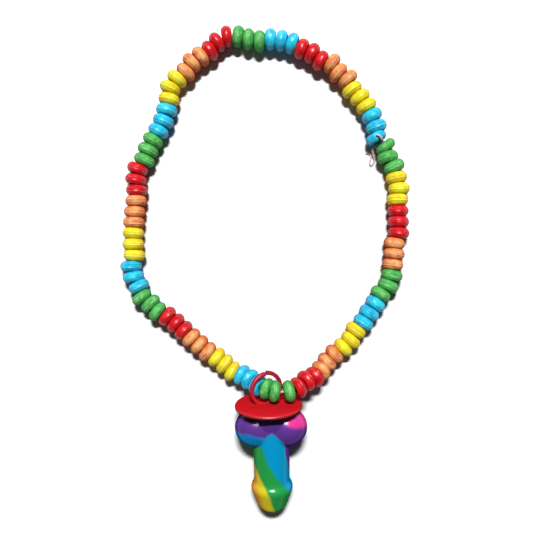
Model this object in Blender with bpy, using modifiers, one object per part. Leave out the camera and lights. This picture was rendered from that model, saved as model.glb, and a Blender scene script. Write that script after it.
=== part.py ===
"""Candy necklace: ninety pressed candy beads on an elastic string, and a hard candy pendant in a holder.

Metres, +Z up. The necklace lies flat on the plane z = 0 in an upright oval. The pendant lies at its -Y end,
with the candy pointing to -Y. Its holder stands on the rim of its plate, and the string climbs through the
holder's ring.
"""

import math
import random

import bmesh
import bpy
from mathutils import Matrix, Vector

MM = 0.001

# Beads: dextrose tablets pressed in a ring die, with a flat rim and two chamfered faces
BEAD_RADIUS = 6.0 * MM
BEAD_THICKNESS = 5.9 * MM
BEAD_RIM = 3.1 * MM
BEAD_FACE_RADIUS = 3.9 * MM
BEAD_HOLE_RADIUS = 1.9 * MM
HOLE_STRAIGHT_BEND = math.radians(16.0)
BEAD_SIDES = 12
BEAD_COLOURS = {
    "green": (0.07, 0.45, 0.10, 1.0),
    "red": (0.65, 0.01, 0.02, 1.0),
    "orange": (0.90, 0.30, 0.10, 1.0),
    "yellow": (0.88, 0.75, 0.02, 1.0),
    "blue": (0.02, 0.45, 0.80, 1.0),
}

# Neighbours of one colour are pressed into each other by this much, and runs stand this far apart
BEAD_OVERLAP = 0.35 * MM
RUN_GAP = 0.5 * MM
KNOT_GAP = 1.8 * MM
RING_GAP = 2.6 * MM

# A bead hangs loosely on the string, so it sits a little askew
BEAD_TILT = math.radians(1.6)
TILT_SEED = 7

# The beads beside the ring stand against its wire, which sets how their axes slope, by run and place in it
BEAD_SLOPES = {(1, 1): math.radians(-14.0), (31, 1): math.radians(22.0), (31, 2): math.radians(-2.0)}

# The runs in order, from the right side of the pendant's ring up the right side of the oval and down the
# left: the colour, how far each bead hangs off the string's line to its right in millimetres, and the line
# itself. It is given by the middle bead of a run, or by more beads where it bends, beside the knot and where
# the string climbs to the ring. The last point is on the ring, between the last bead and the first.
RUNS = (
    ("green", (0.0,), ((12.8, -66.2, 19.7),)),
    ("red", (0.1, -0.5, 0.7), ((17.7, -64.6, 17.9), (22.3, -62.1, 14.6), (26.9, -59.3, 10.7))),
    ("orange", (0.5, -0.1, -0.5), ((31.1, -56.2, 7.5), (34.7, -52.4, 6.1))),
    ("yellow", (0.1, 0.3, -0.8), ((47.3, -40.2, 6.0),)),
    ("blue", (0.1, -0.2, -0.4), ((58.1, -25.3, 6.0),)),
    ("green", (-1.2, 0.3, 0.6), ((68.3, -9.8, 6.0),)),
    ("orange", (-0.1, -0.2, -1.0), ((72.0, 7.7, 6.0),)),
    ("red", (0.6, -0.1, -0.5), ((74.2, 25.1, 6.0),)),
    ("yellow", (-0.8, 0.3, -0.4), ((74.2, 44.3, 6.0),)),
    ("green", (0.0, 0.0, -0.1), ((72.1, 55.7, 6.0), (68.4, 61.0, 6.0), (67.3, 67.3, 6.0))),
    ("blue", (-0.4, 0.0, 0.4), ((62.1, 72.5, 6.0), (61.7, 79.0, 6.0))),
    ("yellow", (0.4, 0.0, -1.1), ((52.6, 95.1, 6.0),)),
    ("orange", (0.7, -0.6, 1.2), ((41.3, 108.8, 6.0),)),
    ("red", (-1.1, 0.1, -0.4), ((25.9, 119.3, 6.0),)),
    ("blue", (0.5, 0.1, 0.1), ((8.8, 126.3, 6.0),)),
    ("green", (-1.2, -0.3, 0.6), ((-9.3, 127.5, 6.0),)),
    ("red", (0.4, 0.3, -1.1), ((-20.4, 128.5, 6.0), (-26.5, 125.3, 6.0))),
    ("orange", (-0.5, 0.2, -1.2), ((-40.9, 114.0, 6.0),)),
    ("yellow", (0.1, 0.7, -0.7), ((-52.3, 100.1, 6.0),)),
    ("blue", (-0.5, -0.2, 0.0), ((-57.1, 81.5, 6.0),)),
    ("green", (0.1, 0.1, -0.4), ((-65.3, 65.5, 6.0),)),
    ("red", (1.2, 0.4, -0.9), ((-71.7, 49.0, 6.0),)),
    ("orange", (-0.7, 0.0, 0.1), ((-72.8, 31.2, 6.0),)),
    ("yellow", (0.2, 0.1, -0.8), ((-73.5, 13.2, 6.0),)),
    ("blue", (0.9, 0.3, -0.6), ((-73.1, -5.5, 6.0),)),
    ("green", (1.2, -0.2, 0.7), ((-64.3, -20.0, 6.0),)),
    ("red", (-0.3, -0.1, 0.1), ((-50.0, -31.0, 6.0),)),
    ("orange", (0.1, 0.0, 0.2), ((-36.8, -42.9, 6.0),)),
    ("yellow", (-0.5, -0.2, 1.0), ((-22.6, -54.0, 6.0),)),
    ("blue", (-0.1, -0.2, 0.5), ((-13.6, -59.5, 7.2), (-8.8, -61.7, 10.4), (-4.5, -63.5, 14.4))),
    ("green", (-0.7, 0.0), ((-0.3, -64.9, 17.8), (4.6, -66.2, 20.0), (8.8, -66.4, 20.4))),
)
CURVE_STEPS = 16

# Elastic string, knotted after the tenth run, with its two cut ends left long inside the oval
STRING_RADIUS = 0.5 * MM
STRING_POINTS = 64
KNOT_RADIUS = 1.0 * MM
KNOT_AFTER_RUN = 10
TAILS = (
    (
        (63.0, 68.6, 5.6),
        (61.5, 67.5, 5.0),
        (60.3, 66.0, 3.9),
        (60.9, 63.7, 2.4),
        (61.7, 61.3, 1.4),
        (61.4, 59.5, 0.9),
        (60.5, 58.1, 0.6),
        (59.5, 58.2, 0.6),
        (59.2, 59.6, 0.7),
        (59.8, 61.5, 0.7),
        (59.8, 63.4, 0.6),
        (58.7, 64.6, 0.6),
        (57.0, 64.8, 0.6),
    ),
    (
        (64.6, 69.8, 9.0),
        (64.3, 70.0, 11.6),
        (63.4, 71.1, 13.2),
        (62.0, 72.3, 13.2),
        (60.6, 72.7, 13.0),
    ),
)

# Holder: one moulding, a round plate with a split ring on its back
PLATE_RADIUS = 18.2 * MM
PLATE_THICKNESS = 2.0 * MM
PLATE_EDGE = 0.6 * MM
PLATE_SIDES = 36
RING_RADIUS = 8.4 * MM
RING_WIRE_RADIUS = 1.1 * MM
RING_WIRE_DEPTH = 1.2
RING_STEP_OUT = 0.6 * MM
RING_SPLIT = 0.25 * MM
RING_ROLL = math.radians(24.5)
RING_SIDE = 1.2 * MM
RING_DROP = 2.1 * MM
RING_SINK = 2.0 * MM
RING_POINTS = 22

# Candy: two round bulbs at the plate, with a web between them, and a shaft with a ridge and a rounded tip.
# All are cast in one piece, which sits a little to one side on the plate. The shaft is given as (height
# above the plate, radius) in millimetres, and the tip is a dome above it.
CANDY_LENGTH = 60.4 * MM
CANDY_SIDE = -1.2 * MM
CANDY_SHAFT = (
    (0.0, 9.9),
    (20.0, 9.9),
    (32.0, 9.7),
    (38.3, 9.7),
    (41.2, 10.2),
    (43.4, 11.2),
    (44.8, 11.3),
)
CANDY_RIDGE_AT = 44.5 * MM
CANDY_TIP_STEPS = 6
CANDY_TIP_BOW = 1.6
CANDY_TIP_ROUNDNESS = 0.62
CANDY_SIDES = 20
LOBE_SIDES = 16
BULB_SPREAD = 8.0 * MM
BULB_AT = 10.9 * MM
BULB_RADII = (11.6 * MM, 10.6 * MM, 10.8 * MM)
WEB_AT = 4.8 * MM
WEB_RADII = (10.5 * MM, 10.9 * MM, 12.0 * MM)

# The pendant lies with the plate's rim and the ridge on the ground, which sets how its axis slopes down.
# The candy is worn flat where it lies, so its ridge meets the ground at this radius.
CANDY_GROUND_RADIUS = 10.4 * MM
PENDANT_FOOT = Vector((1.7 * MM, -70.1 * MM, 0.0))
PENDANT_YAW = math.radians(1.0)
TOUCHING_GAP = 0.3 * MM
PENDANT_SLOPE = math.atan((PLATE_RADIUS - CANDY_GROUND_RADIUS) / (CANDY_RIDGE_AT + PLATE_THICKNESS))

MERGE = 0.02 * MM


def clear_scene():
    for obj in list(bpy.data.objects):
        bpy.data.objects.remove(obj, do_unlink=True)


def new_collection(name):
    collection = bpy.data.collections.new(name)
    bpy.context.scene.collection.children.link(collection)
    return collection


def material(name, colour, roughness, transmission=0.0):
    finish = bpy.data.materials.new(name)
    finish.use_nodes = True
    shader = finish.node_tree.nodes["Principled BSDF"]
    shader.inputs["Base Color"].default_value = colour
    shader.inputs["Roughness"].default_value = roughness
    shader.inputs["Metallic"].default_value = 0.0
    shader.inputs["Transmission Weight"].default_value = transmission
    finish.diffuse_color = colour
    return finish


def add_object(name, data, collection, finish=None):
    obj = bpy.data.objects.new(name, data)
    collection.objects.link(obj)
    if finish is not None:
        data.materials.append(finish)
    return obj


def add_cutter(name, data):
    obj = add_object(name, data, cutters)
    obj.hide_render = True
    obj.display_type = "WIRE"
    return obj


def evaluated_mesh(obj):
    """The object's mesh in world space, with its modifiers applied and its seams closed."""
    bpy.context.view_layer.update()
    evaluated = obj.evaluated_get(bpy.context.evaluated_depsgraph_get())
    mesh = bpy.data.meshes.new_from_object(evaluated)
    mesh.transform(obj.matrix_world)
    bm = bmesh.new()
    bm.from_mesh(mesh)
    bmesh.ops.remove_doubles(bm, verts=bm.verts, dist=MERGE)
    bmesh.ops.recalc_face_normals(bm, faces=bm.faces)
    bm.to_mesh(mesh)
    bm.free()
    return mesh


def turned_mesh(profile, sides):
    """A closed solid turned about Z, from (radius, height) points along its outer side."""
    outline = bpy.data.meshes.new("profile")
    points = [(radius, 0.0, height) for radius, height in profile]
    outline.from_pydata(points, [(i, i + 1) for i in range(len(points) - 1)], [])
    obj = add_object("profile", outline, cutters)
    screw = obj.modifiers.new("turn", "SCREW")
    screw.axis = "Z"
    screw.steps = sides
    screw.render_steps = sides
    screw.use_merge_vertices = True
    screw.merge_threshold = MERGE
    mesh = evaluated_mesh(obj)
    bpy.data.objects.remove(obj)
    return mesh


def smooth_closed(points, steps):
    """A closed Catmull-Rom curve through the points, as a list of positions."""
    curve = []
    count = len(points)
    for i in range(count):
        before, start, end, after = (points[(i + k) % count] for k in (-1, 0, 1, 2))
        for step in range(steps):
            t = step / steps
            bend = (2 * before - 5 * start + 4 * end - after) * t * t
            twist = (3 * start - before - 3 * end + after) * t ** 3
            curve.append((2 * start + (end - before) * t + bend + twist) / 2)
    return curve


class Route:
    """The string's closed line, measured along its length from its first point."""

    def __init__(self, points):
        self.points = points
        self.marks = [0.0]
        for i, point in enumerate(points):
            self.marks.append(self.marks[-1] + (points[(i + 1) % len(points)] - point).length)
        self.length = self.marks[-1]

    def at(self, distance):
        distance %= self.length
        i = max(k for k in range(len(self.points)) if self.marks[k] <= distance)
        share = (distance - self.marks[i]) / (self.marks[i + 1] - self.marks[i])
        return self.points[i].lerp(self.points[(i + 1) % len(self.points)], share)

    def direction(self, distance):
        step = 0.5 * MM
        return (self.at(distance + step) - self.at(distance - step)).normalized()

    def bend(self, start, end):
        return self.direction(start).angle(self.direction(end))


def thread_beads(route, point_marks):
    """Each run's beads as (distance along the string, half thickness behind, half thickness ahead).

    Neighbouring runs share the string between their middles, bead by bead. On a bend the inside edges of
    two faces come together, so faces of two runs stand further apart there.
    """
    middles = []
    first = 0
    counts = [len(offsets) for _, offsets, _ in RUNS]
    for count, (_, _, points) in zip(counts, RUNS):
        marks = point_marks[first:first + len(points)]
        middles.append((marks[0] + marks[1]) / 2 if count == 2 else marks[len(marks) // 2])
        first += len(points)
    edges = [-BEAD_THICKNESS / 2]
    gaps = [0.0]
    for number in range(1, len(RUNS)):
        before, after = middles[number - 1:number + 1]
        share = counts[number - 1] / (counts[number - 1] + counts[number])
        edges.append(before + (after - before) * share)
        gap = KNOT_GAP if number == KNOT_AFTER_RUN else RUN_GAP
        bend = route.bend(edges[-1] - BEAD_RADIUS / 2, edges[-1] + BEAD_RADIUS / 2)
        gaps.append(gap + BEAD_FACE_RADIUS * bend)
    edges.append(route.length - BEAD_THICKNESS / 2 - RING_GAP)
    gaps.append(0.0)
    threaded = []
    for number, count in enumerate(counts):
        pitch = (edges[number + 1] - edges[number]) / count
        run = []
        for k in range(count):
            behind = pitch / 2 + (BEAD_OVERLAP / 2 if k > 0 else -gaps[number] / 2)
            ahead = pitch / 2 + (BEAD_OVERLAP / 2 if k < count - 1 else -gaps[number + 1] / 2)
            run.append((edges[number] + (k + 0.5) * pitch, behind, ahead))
        threaded.append(run)
    return threaded


def bead_frame(route, distance, tilt, turn, slack, slope=None):
    """A bead's place: its axis along the string, askew by tilt and turn, and off the string by slack.

    A slope, where one is given, takes the place of the string's own and of what is askew.
    """
    axis = route.direction(distance)
    if slope is not None:
        axis.z = math.tan(slope)
        axis.normalize()
        tilt = turn = slack = 0.0
    side = axis.cross(Vector((0.0, 0.0, 1.0))).normalized()
    up = side.cross(axis)
    axis = (axis + side * math.tan(turn) + up * math.tan(tilt)).normalized()
    down = (axis * axis.z - Vector((0.0, 0.0, 1.0))).normalized()
    turned = Matrix((down, axis.cross(down), axis)).transposed().to_4x4()
    return Matrix.Translation(route.at(distance) + side * slack) @ turned


def rest_on_ground(mesh):
    """Lifts or lowers a bead whose string lies on the ground so that its rim touches it."""
    lowest = min(vertex.co.z for vertex in mesh.vertices)
    if lowest < 0.5 * MM:
        mesh.transform(Matrix.Translation((0.0, 0.0, -lowest)))


def bead_mesh(behind, ahead, frame):
    rim = BEAD_RIM / 2
    mesh = turned_mesh(
        [
            (0.0, ahead),
            (BEAD_FACE_RADIUS, ahead),
            (BEAD_RADIUS, rim),
            (BEAD_RADIUS, -rim),
            (BEAD_FACE_RADIUS, -behind),
            (0.0, -behind),
        ],
        BEAD_SIDES,
    )
    mesh.transform(frame)
    rest_on_ground(mesh)
    return mesh


def tube_mesh(points, radius, cyclic=False):
    """A round tube along the points, as a mesh with its caps welded on."""
    data = bpy.data.curves.new("tube", "CURVE")
    data.dimensions = "3D"
    data.bevel_depth = radius
    data.bevel_resolution = 2
    data.use_fill_caps = not cyclic
    line = data.splines.new("POLY")
    line.points.add(len(points) - 1)
    for slot, point in zip(line.points, points):
        slot.co = (*point, 1.0)
    line.use_cyclic_u = cyclic
    obj = add_object("tube", data, cutters)
    mesh = evaluated_mesh(obj)
    bpy.data.objects.remove(obj)
    return mesh


def boolean(target, tool, operation):
    step = target.modifiers.new(operation.lower(), "BOOLEAN")
    step.operation = operation
    step.object = tool
    step.solver = "EXACT"


def flatten(target):
    """Joins the flat faces that a Boolean leaves split."""
    step = target.modifiers.new("flatten", "DECIMATE")
    step.decimate_type = "DISSOLVE"
    step.angle_limit = math.radians(0.5)


def shade_round(obj, degrees=35.0):
    obj.data.shade_smooth()
    obj.data.set_sharp_from_angle(angle=math.radians(degrees))


def hole_line(route, first, last):
    """The line of a run's hole: straight, halfway into the string's bow, or following it where it bends."""
    middle = (first + last) / 2
    start, end = route.at(first), route.at(last)
    if route.bend(first, middle) + route.bend(middle, last) > HOLE_STRAIGHT_BEND:
        back, ahead = (route.direction(distance) * BEAD_THICKNESS for distance in (first, last))
        return [start - back, start, end, end + ahead]
    half_bow = (route.at(middle) - (start + end) / 2) / 2
    reach = BEAD_THICKNESS * route.direction(middle)
    if last > first:
        reach = BEAD_THICKNESS * (end - start).normalized()
    return [start + half_bow - reach, end + half_bow + reach]


def add_bead_run(route, number, colour, offsets, beads, draw):
    """One run of beads of one colour, fused where they touch and drilled along the string."""
    name = f"beads_{number:02d}_{colour}"
    run = None
    count = len(beads)
    for k, (distance, behind, ahead) in enumerate(beads):
        slope = BEAD_SLOPES.get((number, k + 1))
        slack = offsets[k] * MM
        tilt = draw.uniform(-BEAD_TILT, BEAD_TILT)
        turn = draw.uniform(-BEAD_TILT, BEAD_TILT)
        mesh = bead_mesh(behind, ahead, bead_frame(route, distance, tilt, turn, slack, slope))
        if run is None:
            run = add_object(name, mesh, parts, bead_finish[colour])
        else:
            boolean(run, add_cutter(f"{name}_bead_{k + 1}", mesh), "UNION")
    first, last = beads[0][0], beads[-1][0]
    hole = tube_mesh(hole_line(route, first, last), BEAD_HOLE_RADIUS)
    boolean(run, add_cutter(f"{name}_hole", hole), "DIFFERENCE")
    flatten(run)
    shade_round(run)


def add_string(route, knot_at):
    """The elastic string: a closed loop with its knot and its two loose ends in one piece."""
    loop = [route.at(route.length * k / STRING_POINTS) for k in range(STRING_POINTS)]
    string = add_object("elastic_string", tube_mesh(loop, STRING_RADIUS, cyclic=True), parts, string_finish)
    bm = bmesh.new()
    bmesh.ops.create_icosphere(bm, subdivisions=1, radius=KNOT_RADIUS)
    bmesh.ops.translate(bm, verts=bm.verts, vec=route.at(knot_at))
    knot = bpy.data.meshes.new("knot")
    bm.to_mesh(knot)
    bm.free()
    boolean(string, add_cutter("knot", knot), "UNION")
    for tail in TAILS:
        points = [route.at(knot_at)] + [Vector(point) * MM for point in tail]
        boolean(string, add_cutter("tail", tube_mesh(points, STRING_RADIUS)), "UNION")
    shade_round(string)


def pendant_frame():
    """X across the pendant, Y along its axis from the plate's back to the tip, and Z up."""
    yaw = Matrix.Rotation(PENDANT_YAW, 4, "Z")
    turned = yaw @ Matrix.Rotation(math.pi, 4, "Z") @ Matrix.Rotation(-PENDANT_SLOPE, 4, "X")
    rim = turned @ Vector((0.0, 0.0, -PLATE_RADIUS))
    lowest = turned @ Vector((0.0, PLATE_THICKNESS, -PLATE_RADIUS))
    lift = Vector((0.0, 0.0, -min(rim.z, lowest.z)))
    foot = PENDANT_FOOT - Vector((rim.x, rim.y, 0.0))
    return Matrix.Translation(foot + lift) @ turned


def add_holder(frame):
    """The plate, turned about the pendant's axis, and the split ring fused to its back."""
    bm = bmesh.new()
    bmesh.ops.create_cone(
        bm,
        cap_ends=True,
        segments=PLATE_SIDES,
        radius1=PLATE_RADIUS,
        radius2=PLATE_RADIUS,
        depth=PLATE_THICKNESS,
        matrix=Matrix.Translation((0.0, PLATE_THICKNESS / 2, 0.0)) @ Matrix.Rotation(math.pi / 2, 4, "X"),
    )
    bm.transform(frame)
    plate = bpy.data.meshes.new("holder")
    bm.to_mesh(plate)
    bm.free()
    holder = add_object("holder", plate, parts, holder_finish)
    edge = holder.modifiers.new("edge", "BEVEL")
    edge.width = PLATE_EDGE
    edge.segments = 1
    edge.limit_method = "ANGLE"
    edge.angle_limit = math.radians(50.0)

    roll = Matrix.Translation((RING_SIDE, 0.0, -RING_DROP)) @ Matrix.Rotation(-RING_ROLL, 4, "Y")
    deepen = Matrix.Diagonal((1.0, 1.0, RING_WIRE_DEPTH, 1.0))
    middle = -(RING_RADIUS + RING_WIRE_RADIUS - RING_SINK)
    start = math.asin(RING_SPLIT / RING_RADIUS)
    points = []
    for k in range(RING_POINTS):
        share = k / (RING_POINTS - 1)
        angle = start + share * (2 * math.pi - 2 * start)
        step_out = RING_STEP_OUT * max(0.0, 1 - 4 * share)
        reach = RING_RADIUS + step_out
        points.append(Vector((-reach * math.sin(angle), middle - reach * math.cos(angle), 0.0)))
    ring = tube_mesh(points, RING_WIRE_RADIUS)
    ring.transform(frame @ roll @ deepen)
    boolean(holder, add_cutter("ring", ring), "UNION")
    flatten(holder)
    shade_round(holder)


def candy_profile():
    """The shaft's outline as (radius, height) points along the candy's axis, from the plate to the tip."""
    profile = [(0.0, 0.0)] + [(radius * MM, height * MM) for height, radius in CANDY_SHAFT]
    widest, brow = profile[-1]
    for k in range(1, CANDY_TIP_STEPS):
        share = math.sin(math.pi / 2 * k / CANDY_TIP_STEPS)
        radius = widest * (1 - share ** CANDY_TIP_BOW) ** CANDY_TIP_ROUNDNESS
        profile.append((radius, brow + (CANDY_LENGTH - brow) * share))
    return profile + [(0.0, CANDY_LENGTH)]


def lobe_mesh(side, along, radii):
    """An ellipsoid beside the candy's axis, cut off level with the plate, with the candy's axis as Z."""
    bm = bmesh.new()
    bmesh.ops.create_uvsphere(bm, u_segments=LOBE_SIDES, v_segments=LOBE_SIDES // 2, radius=1.0)
    bmesh.ops.scale(bm, verts=bm.verts, vec=radii)
    bmesh.ops.translate(bm, verts=bm.verts, vec=(side, 0.0, along))
    geometry = bm.verts[:] + bm.edges[:] + bm.faces[:]
    bmesh.ops.bisect_plane(bm, geom=geometry, plane_no=(0.0, 0.0, 1.0), clear_inner=True)
    bmesh.ops.holes_fill(bm, edges=bm.edges)
    mesh = bpy.data.meshes.new("lobe")
    bm.to_mesh(mesh)
    bm.free()
    return mesh


def add_candy(frame):
    """The shaft turned about the pendant's axis, with the bulbs and the web between them fused to it."""
    on_plate = Matrix.Translation((CANDY_SIDE, PLATE_THICKNESS + TOUCHING_GAP, 0.0))
    along = frame @ on_plate @ Matrix.Rotation(-math.pi / 2, 4, "X")
    shaft = turned_mesh(candy_profile(), CANDY_SIDES)
    shaft.transform(along)
    for vertex in shaft.vertices:
        vertex.co.z = max(0.0, vertex.co.z)
    candy = add_object("pendant_candy", shaft, parts, candy_finish)
    lobes = {
        "bulb_left": lobe_mesh(-BULB_SPREAD, BULB_AT, BULB_RADII),
        "bulb_right": lobe_mesh(BULB_SPREAD, BULB_AT, BULB_RADII),
        "web": lobe_mesh(0.0, WEB_AT, WEB_RADII),
    }
    for name, lobe in lobes.items():
        lobe.transform(along)
        boolean(candy, add_cutter(name, lobe), "UNION")
    shade_round(candy)


clear_scene()
parts = new_collection("candy_necklace")
cutters = new_collection("cutters")
bead_finish = {colour: material(f"bead_{colour}", rgba, 0.35) for colour, rgba in BEAD_COLOURS.items()}
string_finish = material("string", (0.85, 0.72, 0.68, 1.0), 0.5)
holder_finish = material("holder_red", (0.55, 0.01, 0.03, 1.0), 0.25)
candy_finish = material("candy_rainbow", (0.10, 0.12, 0.45, 1.0), 0.15, 0.3)

line = [Vector(point) * MM for _, _, points in RUNS for point in points]
necklace = Route(smooth_closed(line, CURVE_STEPS))
threaded_runs = thread_beads(necklace, necklace.marks[::CURVE_STEPS])
askew = random.Random(TILT_SEED)
for index, run_beads in enumerate(threaded_runs):
    tint, sideways, _ = RUNS[index]
    add_bead_run(necklace, index + 1, tint, sideways, run_beads, askew)
last_before_knot = threaded_runs[KNOT_AFTER_RUN - 1][-1][0]
first_after_knot = threaded_runs[KNOT_AFTER_RUN][0][0]
add_string(necklace, (last_before_knot + first_after_knot) / 2)
pendant = pendant_frame()
add_holder(pendant)
add_candy(pendant)
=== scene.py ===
import math
import random

import bmesh
import bpy
from mathutils import Matrix, Vector, noise


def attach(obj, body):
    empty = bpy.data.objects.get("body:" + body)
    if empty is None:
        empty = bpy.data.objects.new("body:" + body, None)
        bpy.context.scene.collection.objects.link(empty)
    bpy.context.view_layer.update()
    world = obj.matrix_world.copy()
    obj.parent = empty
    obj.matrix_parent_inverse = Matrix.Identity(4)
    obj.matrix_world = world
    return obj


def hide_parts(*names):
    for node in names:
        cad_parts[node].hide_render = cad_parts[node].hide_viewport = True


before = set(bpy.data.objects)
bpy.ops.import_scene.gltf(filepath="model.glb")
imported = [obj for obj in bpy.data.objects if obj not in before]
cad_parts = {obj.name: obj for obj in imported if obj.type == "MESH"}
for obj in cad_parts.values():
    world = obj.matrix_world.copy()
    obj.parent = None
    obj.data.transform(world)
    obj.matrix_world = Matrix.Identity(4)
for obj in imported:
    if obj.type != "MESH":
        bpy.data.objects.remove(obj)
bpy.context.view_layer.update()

# The string's line. The necklace was laid down flat in an upright oval, so the string lies a bead's radius
# above the surface, and it climbs to the ring of the pendant, which stands on its rim. The beads are pressed
# sugar tablets, strung close, with a wider gap at the knot and another at the ring.
MM = 0.001
BEAD_RADIUS = 6.0 * MM
BEAD_THICKNESS = 5.9 * MM
BEAD_FACE_RADIUS = 3.9 * MM
BEADS_TOUCH = 0.05 * MM
BEND_OPENS = 0.2
KNOT_GAP = 1.8 * MM
RING_GAP = 2.6 * MM
KNOT_AFTER_RUN = 10
CURVE_STEPS = 16

# Each run's colour, how far each of its beads sits off the string sideways, and the places that its string goes
# through, in millimetres. The runs go round from the right of the ring, one bead for each sideways place.
RUNS = (
    ("green", (0.0,), ((12.8, -66.2, 19.7),)),
    ("red", (0.1, -0.5, 0.7), ((17.7, -64.6, 17.9), (22.3, -62.1, 14.6), (26.9, -59.3, 10.7))),
    ("orange", (0.5, -0.1, -0.5), ((31.1, -56.2, 7.5), (34.7, -52.4, 6.1))),
    ("yellow", (0.1, 0.3, -0.8), ((47.3, -40.2, 6.0),)),
    ("blue", (0.1, -0.2, -0.4), ((58.1, -25.3, 6.0),)),
    ("green", (-1.2, 0.3, 0.6), ((68.3, -9.8, 6.0),)),
    ("orange", (-0.1, -0.2, -1.0), ((72.0, 7.7, 6.0),)),
    ("red", (0.6, -0.1, -0.5), ((74.2, 25.1, 6.0),)),
    ("yellow", (-0.8, 0.3, -0.4), ((74.2, 44.3, 6.0),)),
    ("green", (0.0, 0.0, -0.1), ((72.1, 55.7, 6.0), (68.4, 61.0, 6.0), (67.3, 67.3, 6.0))),
    ("blue", (-0.4, 0.0, 0.4), ((62.1, 72.5, 6.0), (61.7, 79.0, 6.0))),
    ("yellow", (0.4, 0.0, -1.1), ((52.6, 95.1, 6.0),)),
    ("orange", (0.7, -0.6, 1.2), ((41.3, 108.8, 6.0),)),
    ("red", (-1.1, 0.1, -0.4), ((25.9, 119.3, 6.0),)),
    ("blue", (0.5, 0.1, 0.1), ((8.8, 126.3, 6.0),)),
    ("green", (-1.2, -0.3, 0.6), ((-9.3, 127.5, 6.0),)),
    ("red", (0.4, 0.3, -1.1), ((-20.4, 128.5, 6.0), (-26.5, 125.3, 6.0))),
    ("orange", (-0.5, 0.2, -1.2), ((-40.9, 114.0, 6.0),)),
    ("yellow", (0.1, 0.7, -0.7), ((-52.3, 100.1, 6.0),)),
    ("blue", (-0.5, -0.2, 0.0), ((-57.1, 81.5, 6.0),)),
    ("green", (0.1, 0.1, -0.4), ((-65.3, 65.5, 6.0),)),
    ("red", (1.2, 0.4, -0.9), ((-71.7, 49.0, 6.0),)),
    ("orange", (-0.7, 0.0, 0.1), ((-72.8, 31.2, 6.0),)),
    ("yellow", (0.2, 0.1, -0.8), ((-73.5, 13.2, 6.0),)),
    ("blue", (0.9, 0.3, -0.6), ((-73.1, -5.5, 6.0),)),
    ("green", (1.2, -0.2, 0.7), ((-64.3, -20.0, 6.0),)),
    ("red", (-0.3, -0.1, 0.1), ((-50.0, -31.0, 6.0),)),
    ("orange", (0.1, 0.0, 0.2), ((-36.8, -42.9, 6.0),)),
    ("yellow", (-0.5, -0.2, 1.0), ((-22.6, -54.0, 6.0),)),
    ("blue", (-0.1, -0.2, 0.5), ((-13.6, -59.5, 7.2), (-8.8, -61.7, 10.4), (-4.5, -63.5, 14.4))),
    ("green", (-0.7, 0.0), ((-0.3, -64.9, 17.8), (4.6, -66.2, 20.0), (8.8, -66.4, 20.4))),
)


def between(before, start, end, after, t):
    """The place on a Catmull-Rom curve from start to end."""
    bend = (2 * before - 5 * start + 4 * end - after) * t * t
    twist = (3 * start - before - 3 * end + after) * t ** 3
    return (2 * start + (end - before) * t + bend + twist) / 2


def smooth_closed(points, steps):
    """A smooth closed line through the points."""
    curve = []
    for i in range(len(points)):
        near = [points[(i + k) % len(points)] for k in (-1, 0, 1, 2)]
        curve += [between(*near, step / steps) for step in range(steps)]
    return curve


class Route:
    """The string's closed line, measured along its length from its first point."""

    def __init__(self, points):
        self.points = points
        self.marks = [0.0]
        for i, point in enumerate(points):
            self.marks.append(self.marks[-1] + (points[(i + 1) % len(points)] - point).length)
        self.length = self.marks[-1]

    def at(self, distance):
        distance %= self.length
        i = max(k for k in range(len(self.points)) if self.marks[k] <= distance)
        share = (distance - self.marks[i]) / (self.marks[i + 1] - self.marks[i])
        return self.points[i].lerp(self.points[(i + 1) % len(self.points)], share)

    def direction(self, distance):
        step = 0.5 * MM
        return (self.at(distance + step) - self.at(distance - step)).normalized()

    def bend(self, start, end):
        return self.direction(start).angle(self.direction(end))


def thread_beads(route, point_marks):
    """Each run's beads as (distance along the string, half thickness behind, half thickness ahead).

    On a bend the inside edges of two faces come together, so the faces stand further apart there.
    """
    middles = []
    first = 0
    counts = [len(offsets) for _, offsets, _ in RUNS]
    for count, (_, _, points) in zip(counts, RUNS):
        marks = point_marks[first:first + len(points)]
        middles.append((marks[0] + marks[1]) / 2 if count == 2 else marks[len(marks) // 2])
        first += len(points)
    edges = [-BEAD_THICKNESS / 2]
    for number in range(1, len(RUNS)):
        before, after = middles[number - 1:number + 1]
        share = counts[number - 1] / (counts[number - 1] + counts[number])
        edges.append(before + (after - before) * share)
    edges.append(route.length - BEAD_THICKNESS / 2 - RING_GAP)

    def half_gap(edge, gap):
        bend = route.bend(edge - BEAD_RADIUS / 2, edge + BEAD_RADIUS / 2)
        return (gap + BEND_OPENS * BEAD_FACE_RADIUS * bend) / 2

    threaded = []
    for number, count in enumerate(counts):
        pitch = (edges[number + 1] - edges[number]) / count
        run = []
        for k in range(count):
            start = edges[number] + k * pitch
            after_knot = k == 0 and number == KNOT_AFTER_RUN
            before_knot = k == count - 1 and number == KNOT_AFTER_RUN - 1
            behind = half_gap(start, KNOT_GAP if after_knot else BEADS_TOUCH)
            ahead = half_gap(start + pitch, KNOT_GAP if before_knot else BEADS_TOUCH)
            if number == 0:
                behind = 0.0
            if number == len(RUNS) - 1 and k == count - 1:
                ahead = 0.0
            run.append((start + pitch / 2, pitch / 2 - behind, pitch / 2 - ahead))
        threaded.append(run)
    return threaded


line = [Vector(point) * MM for _, _, points in RUNS for point in points]
necklace = Route(smooth_closed(line, CURVE_STEPS))
threaded_runs = thread_beads(necklace, necklace.marks[::CURVE_STEPS])


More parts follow.
